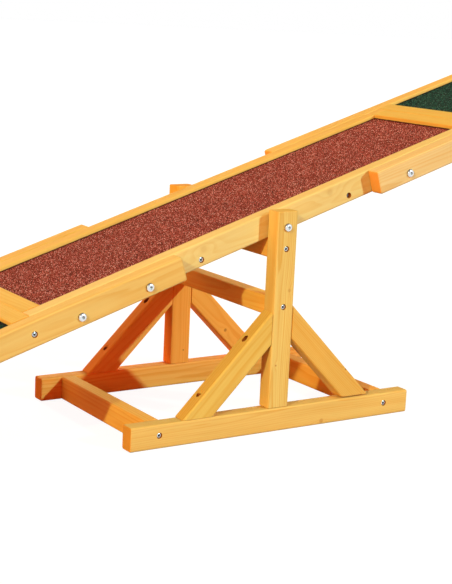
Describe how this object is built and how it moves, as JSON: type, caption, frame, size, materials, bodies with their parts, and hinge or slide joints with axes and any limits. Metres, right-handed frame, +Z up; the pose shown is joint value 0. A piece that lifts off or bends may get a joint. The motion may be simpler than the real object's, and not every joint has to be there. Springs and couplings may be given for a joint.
{
  "type": "dog agility seesaw",
  "caption": "Low timber trestle with a long walkway that tilts on bolts through its posts; red and green mineral mats, end sections bolted on.",
  "frame": {"origin": "on the floor, midway between the trestle's rails and straight below the pivot", "axes": "+X along the walkway towards its raised end, +Z up, -Y is the front"},
  "size_m": [1.7233, 0.2978, 0.5856],
  "materials": {
    "pine": "honey-stained, clear-varnished pine with a soft sheen",
    "plywood": "plain unfinished plywood",
    "red_mat": "matt granule-faced mat, red-brown",
    "green_mat": "matt granule-faced mat, dark green",
    "zinc_steel": "bright zinc-plated steel"
  },
  "bodies": {
    "trestle": {"bar_screw_mid_front": "zinc_steel", "bar_screw_mid_rear": "zinc_steel", "bar_screw_top_front": "zinc_steel", "bar_screw_top_rear": "zinc_steel", "brace_front_left": "pine", "brace_front_right": "pine", "brace_rear_left": "pine", "brace_rear_right": "pine", "cross_rail_left": "pine", "cross_rail_right": "pine", "mid_bar": "pine", "pivot_bolt_front": "zinc_steel", "pivot_bolt_rear": "zinc_steel", "pivot_nut_front": "zinc_steel", "pivot_nut_rear": "zinc_steel", "pivot_spacer_front": "zinc_steel", "pivot_spacer_rear": "zinc_steel", "post_front": "pine", "post_rear": "pine", "rail_front": "pine", "rail_rear": "pine", "rail_screw_front_left": "zinc_steel", "rail_screw_front_right": "zinc_steel", "rail_screw_rear_left": "zinc_steel", "rail_screw_rear_right": "zinc_steel", "top_bar": "pine"},
    "walkway": {"beam_front": "pine", "beam_rear": "pine", "bearer_screw_front_left": "zinc_steel", "bearer_screw_front_right": "zinc_steel", "bearer_screw_rear_left": "zinc_steel", "bearer_screw_rear_right": "zinc_steel", "centre_bearer_left": "pine", "centre_bearer_right": "pine", "centre_deck_board": "plywood", "centre_end_member_left": "pine", "centre_end_member_right": "pine", "centre_mat_red": "red_mat", "connector_bolt_front_left_far": "zinc_steel", "connector_bolt_front_left_near": "zinc_steel", "connector_bolt_front_right_far": "zinc_steel", "connector_bolt_front_right_near": "zinc_steel", "connector_bolt_rear_left_far": "zinc_steel", "connector_bolt_rear_left_near": "zinc_steel", "connector_bolt_rear_right_far": "zinc_steel", "connector_bolt_rear_right_near": "zinc_steel", "end_bearer_left": "pine", "end_bearer_right": "pine", "end_deck_board_left": "plywood", "end_deck_board_right": "plywood", "end_mat_green_left": "green_mat", "end_mat_green_right": "green_mat", "end_rail_front_left": "pine", "end_rail_front_right": "pine", "end_rail_rear_left": "pine", "end_rail_rear_right": "pine", "inner_member_left": "pine", "inner_member_right": "pine", "outer_member_left": "pine", "outer_member_right": "pine"}
  },
  "joints": [
    {"name": "walkway_tilt", "type": "hinge", "parent": "trestle", "child": "walkway", "pos_m": [0, 0, 0.289], "axis": [0, 1, 0], "range_deg": [0, 35.8]}
  ]
}
